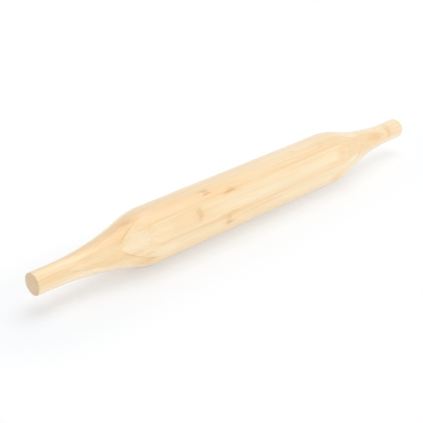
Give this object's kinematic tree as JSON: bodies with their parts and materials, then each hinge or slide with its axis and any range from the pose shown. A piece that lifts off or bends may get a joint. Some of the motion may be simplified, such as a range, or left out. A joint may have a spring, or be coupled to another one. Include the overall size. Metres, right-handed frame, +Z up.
{
  "type": "rolling pin",
  "caption": "One-piece turned rolling pin of laminated bamboo: a straight round barrel that tapers in a smooth S to a slim plain grip at each end.",
  "frame": {"origin": "middle of the pin, on its turning axis", "axes": "+X along the turning axis towards the right grip, +Z up, -Y towards the side that the picture shows"},
  "size_m": [0.456, 0.05, 0.05],
  "materials": {
    "pale_bamboo": "satin clear finish on pale bamboo",
    "warm_bamboo": "satin clear finish on warm bamboo",
    "deep_bamboo": "satin clear finish on deeper bamboo"
  },
  "bodies": {
    "root": {"front_face": "pale_bamboo", "front_outer_lower": "pale_bamboo", "front_outer_middle": "warm_bamboo", "front_outer_upper": "warm_bamboo", "front_second_lower": "deep_bamboo", "front_second_middle": "deep_bamboo", "front_second_upper": "warm_bamboo", "front_inner_lower": "warm_bamboo", "front_inner_middle": "pale_bamboo", "front_inner_upper": "warm_bamboo", "core_lower": "pale_bamboo", "core_middle": "warm_bamboo", "core_upper": "pale_bamboo", "back_inner_lower": "warm_bamboo", "back_inner_middle": "pale_bamboo", "back_inner_upper": "warm_bamboo", "back_second_lower": "deep_bamboo", "back_second_middle": "warm_bamboo", "back_second_upper": "deep_bamboo", "back_outer_lower": "warm_bamboo", "back_outer_middle": "pale_bamboo", "back_outer_upper": "warm_bamboo", "back_face": "pale_bamboo"}
  },
  "joints": []
}
